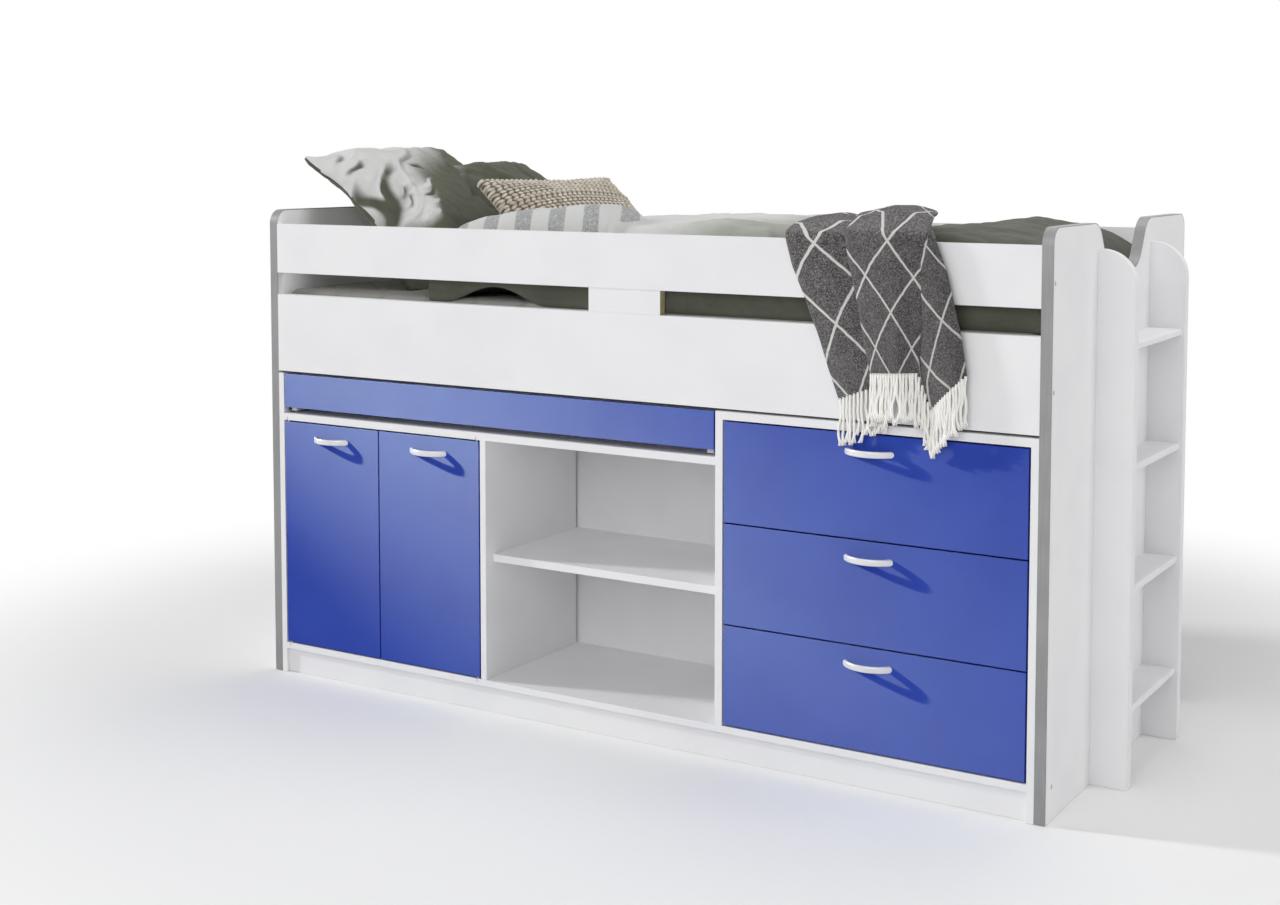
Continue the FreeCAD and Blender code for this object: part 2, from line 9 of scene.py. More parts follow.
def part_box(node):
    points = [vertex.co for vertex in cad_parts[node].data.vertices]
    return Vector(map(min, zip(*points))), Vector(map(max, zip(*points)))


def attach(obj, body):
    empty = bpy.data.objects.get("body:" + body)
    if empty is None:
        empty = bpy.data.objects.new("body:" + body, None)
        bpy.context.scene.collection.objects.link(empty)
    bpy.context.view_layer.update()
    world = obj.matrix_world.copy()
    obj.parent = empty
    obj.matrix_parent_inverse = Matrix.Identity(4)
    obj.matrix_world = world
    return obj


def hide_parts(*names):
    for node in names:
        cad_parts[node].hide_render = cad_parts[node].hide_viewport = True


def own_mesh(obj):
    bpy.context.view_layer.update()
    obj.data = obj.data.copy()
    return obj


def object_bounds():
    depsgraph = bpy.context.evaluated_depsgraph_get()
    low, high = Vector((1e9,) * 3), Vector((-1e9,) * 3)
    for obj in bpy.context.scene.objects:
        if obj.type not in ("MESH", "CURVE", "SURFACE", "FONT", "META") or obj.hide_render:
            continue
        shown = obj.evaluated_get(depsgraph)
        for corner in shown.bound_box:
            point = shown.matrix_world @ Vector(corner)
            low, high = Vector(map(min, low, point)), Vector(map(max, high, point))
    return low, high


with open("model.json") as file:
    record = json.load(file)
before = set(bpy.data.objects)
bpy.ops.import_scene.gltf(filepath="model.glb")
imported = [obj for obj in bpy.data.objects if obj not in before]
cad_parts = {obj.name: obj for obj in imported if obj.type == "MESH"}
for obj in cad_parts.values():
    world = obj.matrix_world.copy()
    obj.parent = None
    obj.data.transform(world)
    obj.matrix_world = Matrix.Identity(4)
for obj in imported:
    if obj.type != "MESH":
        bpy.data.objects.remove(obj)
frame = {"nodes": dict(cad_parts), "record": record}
cad_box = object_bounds()

# Places read from the frame, in metres
rail_low, rail_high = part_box("front_top_rail")
pad_low, pad_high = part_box("mattress")
pad_top = pad_high.z
head_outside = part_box("headboard_panel")[0].x
foot_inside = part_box("footboard_panel")[0].x
spacer_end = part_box("rail_spacer_block")[1].x


def from_head(mm):
    """x of a place measured from the headboard's outer face, in millimetres."""
    return head_outside + mm / 1000


def from_front(mm):
    """y of a place measured from the front plane of the rails, in millimetres."""
    return rail_low.y + mm / 1000


def hump(value, middle, reach):
    """Smooth rise from 0 to 1 and back over reach on either side of middle."""
    away = abs(value - middle) / reach
    return 0.0 if away >= 1 else (1 - away * away) ** 2


def ease(value, low, high):
    """0 below low, 1 above high and smooth between."""
    share = min(max((value - low) / (high - low), 0.0), 1.0)
    return share * share * (3 - 2 * share)


# Shader helpers


def srgb(code):
    """Linear colour of a hexadecimal screen colour."""
    parts = [int(code[i : i + 2], 16) / 255 for i in (0, 2, 4)]
    linear = [c / 12.92 if c <= 0.04045 else ((c + 0.055) / 1.055) ** 2.4 for c in parts]
    return (*linear, 1.0)


class Value:
    """What a node gives out, a number as a rule. Arithmetic on it adds Math nodes to its tree."""

    def __init__(self, nodes, socket):
        self.nodes = nodes
        self.socket = socket

    def math(self, operation, *values):
        return self.nodes.node("ShaderNodeMath", {"operation": operation}, dict(enumerate(values)))

    def __add__(self, other):
        return self.math("ADD", self, other)

    def __radd__(self, other):
        return self.math("ADD", other, self)

    def __sub__(self, other):
        return self.math("SUBTRACT", self, other)

    def __rsub__(self, other):
        return self.math("SUBTRACT", other, self)

    def __mul__(self, other):
        return self.math("MULTIPLY", self, other)

    def __rmul__(self, other):
        return self.math("MULTIPLY", other, self)

    def __gt__(self, other):
        return self.math("GREATER_THAN", self, other)

    def __abs__(self):
        return self.math("ABSOLUTE", self)

    def wrapped(self, size):
        """Sawtooth from 0 to size."""
        return self.math("WRAP", self, size, 0.0)

    def sine(self):
        return self.math("SINE", self)

    def smallest(self, other):
        return self.math("MINIMUM", self, other)

    def largest(self, other):
        return self.math("MAXIMUM", self, other)

    def eased(self, low, high):
        """0 below low, 1 above high and smooth between."""
        sockets = {"Value": self, "From Min": low, "From Max": high}
        return self.nodes.node("ShaderNodeMapRange", {"interpolation_type": "SMOOTHSTEP"}, sockets)


class Nodes:
    """The shader nodes of a material or of the world."""

    def __init__(self, tree):
        self.tree = tree

    def node(self, kind, settings=None, sockets=None, out=0):
        """Add a node: its settings first, then the values or links of its sockets."""
        made = self.tree.nodes.new(kind)
        for key, value in (settings or {}).items():
            if key == "stops":
                self.set_stops(made.color_ramp.elements, value)
            else:
                setattr(made, key, value)
        for key, value in (sockets or {}).items():
            self.join(value, made.inputs[key])
        return Value(self, made.outputs[out])

    @staticmethod
    def set_stops(elements, stops):
        """Give a ramp its stops, each a place and a colour code."""
        while len(elements) < len(stops):
            elements.new(1.0)
        for element, (place, code) in zip(elements, stops):
            element.position = place
            element.color = srgb(code)

    def join(self, value, socket):
        """Link a value to a socket, or set the socket to a colour code or a constant."""
        if isinstance(value, Value):
            self.tree.links.new(value.socket, socket)
        elif isinstance(value, str):
            socket.default_value = srgb(value)
        else:
            socket.default_value = value

    def shown(self):
        """1 on the rays that show the surroundings: to the camera, off gloss or through glass."""
        names = [f"Is {kind} Ray" for kind in ("Camera", "Glossy", "Transmission")]
        straight, glossy, through = [self.node("ShaderNodeLightPath", out=name) for name in names]
        return straight.largest(glossy).largest(through)


class Finish(Nodes):
    """A procedural material on one Principled surface."""

    def __init__(self, name, **constants):
        self.material = bpy.data.materials.new(name)
        self.material.use_nodes = True
        super().__init__(self.material.node_tree)
        self.surface = self.tree.nodes["Principled BSDF"]
        self.feed(**constants)

    def feed(self, **values):
        """Set or link sockets of the surface, written with _ for the space in their names."""
        for socket, value in values.items():
            self.join(value, self.surface.inputs[socket.replace("_", " ")])

    def place(self, scale=(1, 1, 1), turn=(0, 0, 0), source="Object"):
        """Coordinates in metres on the piece, scaled and turned, or those of its UV map."""
        at = self.node("ShaderNodeTexCoord", out=source)
        return self.node("ShaderNodeMapping", {}, {"Vector": at, "Scale": scale, "Rotation": turn})

    def axis(self, vector, index):
        return self.node("ShaderNodeSeparateXYZ", {}, {0: vector}, out=index)

    def kept(self, layer):
        """Number that each vertex of the piece keeps in a layer."""
        return self.node("ShaderNodeAttribute", {"attribute_name": layer}, out="Fac")

    def noise(self, scale, detail, rough=0.5, at=None):
        sockets = {"Vector": at or self.place(), "Scale": scale, "Detail": detail, "Roughness": rough}
        return self.node("ShaderNodeTexNoise", {}, sockets)

    def cells(self, scale, at, out="Distance"):
        return self.node("ShaderNodeTexVoronoi", {}, {"Vector": at, "Scale": scale}, out)

    def mix(self, low, high, factor):
        """Colour that goes from low to high as the factor goes from 0 to 1."""
        return self.node("ShaderNodeMix", {"data_type": "RGBA"}, {0: factor, 6: low, 7: high}, out=2)

    def ramp(self, value, *stops):
        return self.node("ShaderNodeValToRGB", {"stops": stops}, {0: value})

    def bump(self, height, depth, edge_radius=None):
        """Raise the surface by height, whose full range stands for depth in metres, and round the
        piece's sharp edges by edge_radius if it is given."""
        sockets = {"Height": height, "Distance": depth, "Strength": 1.0}
        if edge_radius:
            sockets["Normal"] = self.node("ShaderNodeBevel", {"samples": 4}, {"Radius": edge_radius})
        self.feed(Normal=self.node("ShaderNodeBump", {}, sockets))


# Finishes of the boards and the metal


def melamine(name, colour, shade, rough, emboss, gloss):
    """Melamine-faced board with a faint pearl emboss and slight cloudiness."""
    board = Finish(name, Specular_IOR_Level=gloss)
    cloud = board.noise(scale=6.0, detail=2.0)
    pearl = board.noise(scale=520.0, detail=2.0, rough=0.55)
    smudge = board.noise(scale=11.0, detail=4.0, rough=0.6)
    board.feed(Base_Color=board.mix(colour, shade, cloud.eased(0.35, 0.75)))
    board.feed(Roughness=rough + (smudge - 0.5) * 0.12 + (pearl - 0.5) * 0.06)
    board.bump(pearl, depth=emboss, edge_radius=0.0009)
    return board


def white_board_finish(name):
    return melamine(name, "EFEFF0", "EBEBED", rough=0.5, emboss=0.00004, gloss=0.12)


def blue_front_finish():
    return melamine("royal_blue_melamine", "2A45A9", "263FA3", rough=0.8, emboss=0.00003, gloss=0.25)


def spacer_finish():
    """White board whose sawn right end shows the chipboard inside."""
    facing = 0.0004
    board = white_board_finish("spacer_melamine")
    face = board.surface.inputs["Base Color"].links[0].from_socket
    at = board.place()
    sawn = board.axis(at, 0) > spacer_end - facing
    chips = board.cells(scale=420.0, at=at, out="Color")
    grit = board.noise(scale=260.0, detail=5.0, rough=0.7, at=at)
    wood = board.ramp(grit, (0.3, "A08F6E"), (0.55, "BDB090"), (0.8, "D8CDB2"))
    flecked = board.mix(wood, "8F7D5A", board.axis(chips, 0).eased(0.6, 0.9) * 0.5)
    board.feed(Base_Color=board.mix(Value(board, face), flecked, sawn))
    return board


def edge_band_finish():
    """Satin grey edge band with a fine drawn grain."""
    band = Finish("grey_edge_band", Specular_IOR_Level=0.5, Metallic=0.25)
    grain = band.noise(scale=1.0, detail=3.0, rough=0.6, at=band.place((900.0, 60.0, 14.0)))
    cloud = band.noise(scale=9.0, detail=2.0)
    tint = (grain * 0.6 + cloud * 0.4).eased(0.3, 0.7)
    band.feed(Base_Color=band.mix("8A8A8A", "9A9A9A", tint))
    band.feed(Roughness=0.36 + grain * 0.12)
    band.bump(grain, depth=0.00003, edge_radius=0.0011)
    return band


def satin_finish(name, colour, rough, metal):
    """Sprayed, plated or moulded satin surface, a little darker where it is worn."""
    satin = Finish(name, Metallic=metal)
    grit = satin.noise(scale=900.0, detail=2.0, rough=0.6)
    wear = satin.noise(scale=35.0, detail=4.0, rough=0.65)
    light = srgb(colour)
    dark = (*(c * 0.9 for c in light[:3]), 1.0)
    satin.feed(Base_Color=satin.mix(light, dark, wear.eased(0.45, 0.8)))
    satin.feed(Roughness=rough + (wear - 0.5) * 0.14)
    satin.bump(grit, depth=0.00003, edge_radius=0.0006)
    return satin


def pine_finish():
    """Planed softwood, grain along the slats and a few knots."""
    pine = Finish("planed_pine")
    along = pine.place((30.0, 2.2, 60.0))
    warp = pine.noise(scale=1.2, detail=3.0, at=along)
    rings = ((pine.axis(along, 0) + warp * 5.0) * 3.0).sine() * 0.5 + 0.5
    fibre = pine.noise(scale=1.0, detail=4.0, rough=0.65, at=pine.place((420.0, 9.0, 420.0)))
    knots = pine.cells(scale=2.6, at=pine.place((2.0, 1.0, 2.0)))
    body = pine.mix("D9B98A", "BF9460", rings * 0.7 + fibre * 0.3)
    pine.feed(Base_Color=pine.mix(body, "7A5230", 1.0 - knots.eased(0.03, 0.07)))
    pine.feed(Roughness=0.55 + fibre * 0.2)
    pine.bump(fibre, depth=0.00012, edge_radius=0.0012)
    return pine


# Finishes of the bedding


def linen_finish(name, light, shade, pale_and_lit_colour=None, stripe=None):
    """Washed linen: a plain weave with slubs, a soft nap and crumpled creases, taking its pale colour
    where the kept layer is low, which is painted light on the pillows and the lining's own pale tone on
    the duvet, with brushed stripes if given a colour for them."""
    threads_per_metre = 760.0
    linen = Finish(name, Specular_IOR_Level=0.15, Sheen_Weight=0.12, Sheen_Roughness=0.6)
    at = linen.place()
    x, y, z = [linen.axis(at, index) for index in range(3)]
    warp = (x * threads_per_metre * math.tau).sine()
    weft = ((y + z) * threads_per_metre * math.tau).sine()
    slub = linen.noise(scale=1.0, detail=3.0, rough=0.6, at=linen.place((90.0, 700.0, 700.0)))
    cross_slub = linen.noise(scale=1.0, detail=3.0, rough=0.6, at=linen.place((700.0, 90.0, 90.0)))
    thick = slub * 0.5 + cross_slub * 0.5
    cloud = linen.noise(scale=7.0, detail=4.0, rough=0.6)
    cloth = linen.mix(shade, light, (cloud * 0.55 + thick * 0.45).eased(0.32, 0.68))
    # Painted light: where the kept layer is low, the pillows take the pale colour as if lit; the duvet
    # lining takes its own pale tone.
    if pale_and_lit_colour:
        darkness = linen.kept("fade") + (cloud - 0.5) * 0.14
        cloth = linen.mix(pale_and_lit_colour, cloth, darkness.eased(-0.08, 0.05))
    if stripe:
        pitch, half_width, outer_half_width = 0.085, 0.017, 0.022
        run = x * 0.9 + y * 0.45 + (cloud - 0.5) * 0.02
        band = 1.0 - abs(run.wrapped(pitch) - pitch / 2).eased(half_width, outer_half_width)
        cloth = linen.mix(cloth, stripe, band * thick.eased(0.3, 0.62))
    linen.feed(Base_Color=cloth)
    linen.feed(Roughness=0.78 + thick * 0.2)
    creases = linen.noise(scale=38.0, detail=5.0, rough=0.62)
    linen.bump(warp * weft * 0.08 + thick * 0.5 + creases * 2.2, depth=0.0011)
    return linen


def ticking_finish():
    """Mattress cover: jersey quilted in diamonds, in a grey darkened as painted shade, since the cover
    shows only in the shaded gaps under the rails.
    """
    cover = Finish("mattress_jersey", Specular_IOR_Level=0.1, Sheen_Weight=0.1)
    radians_per_metre = 22.0
    at = cover.place()
    x, y = cover.axis(at, 0), cover.axis(at, 1)
    rising, falling = [abs((run * radians_per_metre).sine()) for run in (x + y, x - y)]
    knit = cover.noise(scale=900.0, detail=2.0)
    cloud = cover.noise(scale=5.0, detail=3.0)
    # Painted shade: both greys are darker than the cover's own colour.
    cover.feed(Base_Color=cover.mix("86847F", "94928D", cloud))
    cover.feed(Roughness=0.82 + knit * 0.15)
    cover.bump(rising.smallest(falling).eased(0.0, 0.5) * 3.0 + knit * 0.3, depth=0.0016)
    return cover


def knit_finish():
    """Chunky undyed yarn with painted shade that darkens the hollows between the stitches, leaving their
    crests lighter.
    """
    yarn = Finish("oatmeal_yarn", Sheen_Weight=0.35)
    fleck = yarn.noise(scale=240.0, detail=4.0, rough=0.7)
    blotch = yarn.noise(scale=46.0, detail=3.0, rough=0.6)
    spun = yarn.place((1400.0, 300.0, 700.0), turn=(0.4, 0.3, 0.7))
    fibre = yarn.noise(scale=1.0, detail=4.0, rough=0.7, at=spun)
    mottle = blotch * 0.6 + fleck * 0.4
    wool = yarn.ramp(mottle, (0.3, "A6987F"), (0.5, "D6CCBA"), (0.72, "F4F0E7"))
    # Painted shade: where the crest is low, in the hollows between the stitches, the yarn turns dark
    # brown.
    yarn.feed(Base_Color=yarn.mix("57493A", wool, yarn.kept("crest").eased(0.22, 0.8)))
    yarn.feed(Roughness=0.8 + fibre * 0.2)
    yarn.bump(fibre + fleck * 0.6, depth=0.0012)
    return yarn


def wool_finish():
    """Dark grey melange wool with a diamond lattice of pale lines, laid out on its own UV map."""
    wool = Finish("grey_melange_wool", Specular_IOR_Level=0.1, Sheen_Weight=0.3, Sheen_Roughness=0.5)
    pitch, half_line = 0.104, 0.0021
    twills_per_metre = 900.0
    flat = wool.place(source="UV")
    across, along = wool.axis(flat, 0), wool.axis(flat, 1)
    tremble = (wool.noise(scale=55.0, detail=2.0, at=flat) - 0.5) * 0.004
    rising = across * 0.82 + along * 0.57 + tremble
    falling = across * 0.82 - along * 0.57 + tremble + 0.02
    first, second = [abs(run.wrapped(pitch) - pitch / 2) for run in (rising, falling)]
    lattice = 1.0 - first.smallest(second).eased(half_line, half_line * 1.7)
    fleck = wool.axis(wool.cells(scale=620.0, at=flat, out="Color"), 0)
    haze = wool.noise(scale=30.0, detail=4.0, rough=0.6, at=flat)
    melange = fleck * 0.7 + haze * 0.3
    ground = wool.ramp(melange, (0.15, "2A2728"), (0.5, "524E4F"), (0.92, "A29E9F"))
    wool.feed(Base_Color=wool.mix(ground, "E6E4DF", lattice))
    wool.feed(Roughness=0.85 + fleck * 0.15)
    twill = ((across + along) * twills_per_metre * math.tau).sine()
    wool.bump(twill * 0.25 + fleck * 0.5 + lattice * 0.6, depth=0.0009)
    return wool


def fringe_finish():
    """Pale twisted yarn."""
    yarn = Finish("pale_fringe_yarn", Sheen_Weight=0.3)
    twist = yarn.noise(scale=1.0, detail=3.0, rough=0.6, at=yarn.place((700.0, 700.0, 160.0)))
    yarn.feed(Base_Color=yarn.mix("EEECE6", "FDFCF8", twist))
    yarn.feed(Roughness=0.78 + twist * 0.2)
    yarn.bump(twist, depth=0.0006)
    return yarn


# Mesh helpers


def new_object(name, bm):
    """Object at the origin that takes over a bmesh."""
    mesh = bpy.data.meshes.new(name)
    bm.to_mesh(mesh)
    bm.free()
    made = bpy.data.objects.new(name, mesh)
    bpy.context.scene.collection.objects.link(made)
    return made


def finish_piece(name, bm, finish, slot, *replaced):
    """Turn a bmesh into a smooth piece that rides on the bed and stands for CAD nodes."""
    bmesh.ops.recalc_face_normals(bm, faces=bm.faces)
    piece = new_object(name, bm)
    for face in piece.data.polygons:
        face.use_smooth = True
    piece.data.materials.append(finish.material)
    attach(piece, "bed")
    if replaced:
        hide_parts(*replaced)
    return piece


def subdivided(piece, levels):
    soft = piece.modifiers.new("soft", "SUBSURF")
    soft.levels = levels
    soft.render_levels = levels
    return piece


def smoothed(bm, factor):
    axes = {"use_axis_x": True, "use_axis_y": True, "use_axis_z": True}
    bmesh.ops.smooth_vert(bm, verts=bm.verts, factor=factor, **axes)


def slab(width, height, thick, cuts_x, cuts_y):
    """Closed slab about the origin, its two large faces cut into a grid."""
    bm = bmesh.new()
    bmesh.ops.create_cube(bm, size=1.0)
    bmesh.ops.scale(bm, vec=(width, height, thick), verts=bm.verts)
    for axis, cuts in ((0, cuts_x), (1, cuts_y)):
        runs = [e for e in bm.edges if abs((e.verts[0].co - e.verts[1].co).normalized()[axis]) > 0.9]
        bmesh.ops.subdivide_edges(bm, edges=runs, cuts=cuts)
    return bm


def inflated(bm, pressure, frames):
    """Blow a closed cloth case up by simulation and return the swollen mesh."""
    case = new_object("case", bm)
    mesh = case.data
    cloth = case.modifiers.new("cloth", "CLOTH")
    cloth.settings.quality = 6
    cloth.settings.mass = 0.25
    cloth.settings.tension_stiffness = 30.0
    cloth.settings.compression_stiffness = 30.0
    cloth.settings.shear_stiffness = 12.0
    cloth.settings.bending_stiffness = 0.4
    cloth.settings.use_pressure = True
    cloth.settings.uniform_pressure_force = pressure
    cloth.settings.effector_weights.gravity = 0.0
    cloth.collision_settings.use_collision = False
    cloth.point_cache.frame_start = 1
    cloth.point_cache.frame_end = frames
    for step in range(1, frames + 1):
        bpy.context.scene.frame_set(step)
    graph = bpy.context.evaluated_depsgraph_get()
    swollen = bmesh.new()
    swollen.from_object(case, graph)
    bpy.data.objects.remove(case)
    bpy.data.meshes.remove(mesh)
    bpy.context.scene.frame_set(1)
    return swollen


def fit_box(bm, width, height, thick):
    """Stretch a bmesh about the origin to the given overall sizes."""
    sizes = []
    for axis in range(3):
        reach = [v.co[axis] for v in bm.verts]
        sizes.append(max(reach) - min(reach))
    wanted = (width, height, thick)
    bmesh.ops.scale(bm, vec=[w / s for w, s in zip(wanted, sizes)], verts=bm.verts)


def crumple(bm, depth, size, stretch, seed):
    """Push the surface in and out along its normals by stretched, seeded noise."""
    bm.normal_update()
    away = Vector((seed * 7.3, seed * 3.1, seed * 5.7))
    pushes = []
    for v in bm.verts:
        at = Vector(c * s for c, s in zip(v.co, stretch)) / size + away
        swell = noise.fractal(at, 0.6, 2.1, 4)
        ridges = noise.ridged_multi_fractal(at * 0.7, 0.9, 2.0, 3, 1.0, 2.0)
        pushes.append(v.normal * (swell + 0.6 * ridges - 0.6) * depth)
    for v, push in zip(bm.verts, pushes):
        v.co += push


def settle(bm, floor_z, wall_x):
    """Flatten what would sink into the mattress or reach past a wall at the head end."""
    for v in bm.verts:
        v.co.z = max(v.co.z, floor_z)
        v.co.x = max(v.co.x, wall_x)


def shaded(bm, shade_at):
    """Keep in a layer how dark the cloth is: below about -0.1 it takes its pale colour, above about 0.1
    its darker one. On the pillows this is painted light and shade.
    """
    fade = bm.verts.layers.float.new("fade")
    for v in bm.verts:
        v[fade] = shade_at(v.co)
    return fade


# Mattress, pillows and knitted cushion

cushion_lean = math.radians(40)
cushion_gap = 0.001


def build_mattress(cover):
    corner_radius, rim_radius = 0.03, 0.022
    rounding = {"profile": 0.5, "affect": "EDGES", "material": -1}
    bm = bmesh.new()
    bmesh.ops.create_cube(bm, size=1.0)
    bmesh.ops.scale(bm, vec=pad_high - pad_low, verts=bm.verts)
    bmesh.ops.translate(bm, vec=(pad_low + pad_high) / 2, verts=bm.verts)
    upright = [e for e in bm.edges if abs(e.verts[0].co.z - e.verts[1].co.z) > 0.01]
    bmesh.ops.bevel(bm, geom=upright, offset=corner_radius, segments=5, **rounding)
    level = [e for e in bm.edges if abs(e.verts[0].co.z - e.verts[1].co.z) < 1e-5]
    level = [e for e in level if len(e.link_faces) == 2]
    rims = [e for e in level if abs(e.link_faces[0].normal.z - e.link_faces[1].normal.z) > 0.5]
    bmesh.ops.bevel(bm, geom=rims, offset=rim_radius, segments=4, **rounding)
    piece = finish_piece("mattress_cover", bm, cover, "mattress_ticking", "mattress")


def stuffed(size, cuts, squareness):
    """Cushion lying flat about the origin, inflated and drawn back towards its sewn outline."""
    width, height, thick = size
    case_thick, pressure, frames, fullness = 0.008, 3.0, 16, 0.8
    bm = slab(width, height, case_thick, *cuts)
    sewn = [v.co.copy() for v in bm.verts]
    bm = inflated(bm, pressure, frames)
    fit_box(bm, width, height, thick)
    for v, place in zip(bm.verts, sewn):
        v.co.x += (place.x - v.co.x) * squareness
        v.co.y += (place.y - v.co.y) * squareness
        v.co.z = math.copysign((abs(v.co.z) * 2 / thick) ** fullness, v.co.z) * thick / 2
    return bm


def leaned(bm, yaw, place):
    """Lean a flat cushion back against the head end and put it in its place."""
    turn = Matrix.Rotation(math.radians(yaw), 4, "Z")
    lean = Matrix.Rotation(cushion_lean, 4, "Y")
    across = Matrix.Rotation(math.pi / 2, 4, "Z")
    bmesh.ops.transform(bm, matrix=Matrix.Translation(place) @ turn @ lean @ across, verts=bm.verts)


# Folds of the pillows' upper faces, in metres on the pillow laid flat: from (x, y) to (x, y), half-width,
# height and what each adds to the painted shade, a negative value adding painted light. The side towards
# the room is at -x and the top edge at +y.
front_pillow_folds = (
    (-0.095, 0.18, -0.25, -0.04, 0.022, -0.015, 0.16),
    (-0.045, 0.20, -0.215, -0.035, 0.024, 0.010, -0.06),
    (-0.145, 0.19, -0.255, 0.02, 0.022, 0.009, -0.04),
    (-0.175, 0.262, -0.247, 0.205, 0.020, -0.011, 0.21),
    (-0.165, 0.205, -0.252, 0.155, 0.020, -0.011, 0.21),
    (-0.155, 0.24, -0.25, 0.185, 0.012, 0.008, -0.062),
    (-0.232, 0.16, -0.244, -0.03, 0.020, -0.008, 0.17),
    (-0.23, -0.09, -0.04, 0.06, 0.085, 0.0, -0.14),
    (-0.224, -0.055, -0.107, 0.001, 0.011, 0.009, -0.161),
    (-0.158, -0.063, -0.094, -0.036, 0.009, 0.007, -0.161),
    (-0.112, -0.004, -0.061, 0.001, 0.008, 0.006, -0.149),
    (-0.083, 0.053, -0.015, 0.084, 0.009, 0.007, -0.124),
    (-0.20, -0.02, -0.12, 0.035, 0.009, -0.007, 0.12),
    (-0.10, 0.02, -0.03, 0.05, 0.008, -0.006, 0.12),
    (-0.19, 0.02, -0.09, 0.07, 0.012, -0.009, 0.09),
    (-0.045, 0.150, -0.002, 0.131, 0.009, -0.006, 0.08),
    (0.02, 0.23, -0.09, 0.12, 0.014, -0.008, 0.06),
    (0.20, 0.24, 0.10, 0.10, 0.018, -0.008, 0.0),
    (0.22, 0.05, 0.05, -0.02, 0.016, -0.007, 0.0),
)
rear_pillow_folds = (
    (-0.18, 0.26, -0.02, 0.02, 0.024, -0.012, 0.0),
    (-0.05, 0.26, 0.02, -0.05, 0.020, 0.008, 0.0),
    (0.10, 0.26, 0.06, 0.0, 0.022, -0.010, 0.0),
    (0.18, 0.20, 0.06, -0.06, 0.022, -0.010, 0.0),
)


def creased(bm, folds, fade):
    """Press folds into the upper face, each in a slight bow that runs out past its ends, and add each
    fold's tone to the painted shade kept in the layer.
    """
    overrun, bow_share = 0.2, 0.1
    for v in bm.verts:
        if v.co.z <= 0:
            continue
        at = Vector((v.co.x, v.co.y))
        for x0, y0, x1, y1, half_width, rise, tone in folds:
            start = Vector((x0, y0))
            run = Vector((x1 - x0, y1 - y0))
            share = (at - start).dot(run) / run.length_squared
            if -overrun < share < 1 + overrun:
                bend = math.sin(math.pi * share * 1.5 + x0 * 40) * hump(share, 0.5, 0.7)
                bow = bow_share * run.length * bend
                away = abs((at - start).cross(run.normalized()) + bow)
                depth = hump(away, 0.0, half_width) * hump(share, 0.5, 0.72)
                v.co.z += rise * depth
                # A fold's tone adds painted shade, and a negative tone adds painted light.
                v[fade] += tone * depth


def bowed(bm, reach, depth):
    """Let the side nearest the room sink back by depth over reach."""
    edge = min(v.co.x for v in bm.verts)
    for v in bm.verts:
        share = max(0.0, 1 - (v.co.x - edge) / reach)
        v.co.z -= depth * share**2


def slumped(bm, ear, tuck):
    """Pull the room-side upper corner out into an ear, and let the lower one sink and tuck itself under.

    The under face is flatter than the upper one, and sags behind the lower half.
    """
    half_width, half_height, ear_reach = 0.26, 0.27, 0.13
    flatness, sag = 0.65, 1.2 * tuck
    for v in bm.verts:
        pull = hump(math.hypot(v.co.x + half_width, v.co.y - half_height), 0.0, ear_reach)
        under = ease(-v.co.y, 0.0, half_height) * ease(-v.co.x, -0.02, half_width)
        v.co.x -= ear * pull
        v.co.y -= ear * pull * 0.4
        v.co.y += tuck * under
        v.co.z -= tuck * under
        if v.co.z < 0:
            v.co.z = v.co.z * flatness - sag * hump(v.co.y, -0.14, 0.24) * hump(v.co.x, -0.02, 0.25)


def pillow(size, place, folds, shade, seed, ear=0.0, tuck=0.0):
    """Stuffed pillow leaning at its place, with painted light that makes it pale towards its upper corner
    on the room side.
    """
    under_shade, past_headboard = 0.3, 0.02
    bm = stuffed(size, cuts=(70, 64), squareness=0.8)
    bmesh.ops.subdivide_edges(bm, edges=bm.edges, cuts=1, use_grid_fill=True)
    smoothed(bm, 0.5)
    # Painted light and shade: pale towards the room-side upper corner, where the lamp falls, dark away
    # from it; the under face keeps the cloth's colour.
    fade = shaded(bm, lambda at: 0.55 * at.x - 0.835 * at.y + shade if at.z > 0 else under_shade)
    creased(bm, folds, fade)
    bowed(bm, reach=0.34, depth=0.012)
    slumped(bm, ear, tuck)
    leaned(bm, 0, place)
    crumple(bm, depth=0.0045, size=0.13, stretch=(1.0, 1.6, 1.0), seed=seed)
    settle(bm, pad_top + cushion_gap, head_outside - past_headboard)
    return bm


def build_pillows(linen):
    front_place = Vector((from_head(240), from_front(396), pad_top + 0.172))
    front = pillow((0.53, 0.55, 0.14), front_place, front_pillow_folds, 0.105, 1, ear=0.035, tuck=0.08)
    piece = finish_piece("front_pillow_case", front, linen, "sage_linen", "front_pillow")
    rear_place = Vector((from_head(345), from_front(695), pad_top + 0.132))
    rear = pillow((0.41, 0.54, 0.14), rear_place, rear_pillow_folds, 0.3, 2)
    piece = finish_piece("rear_pillow_case", rear, linen, "sage_linen", "rear_pillow")


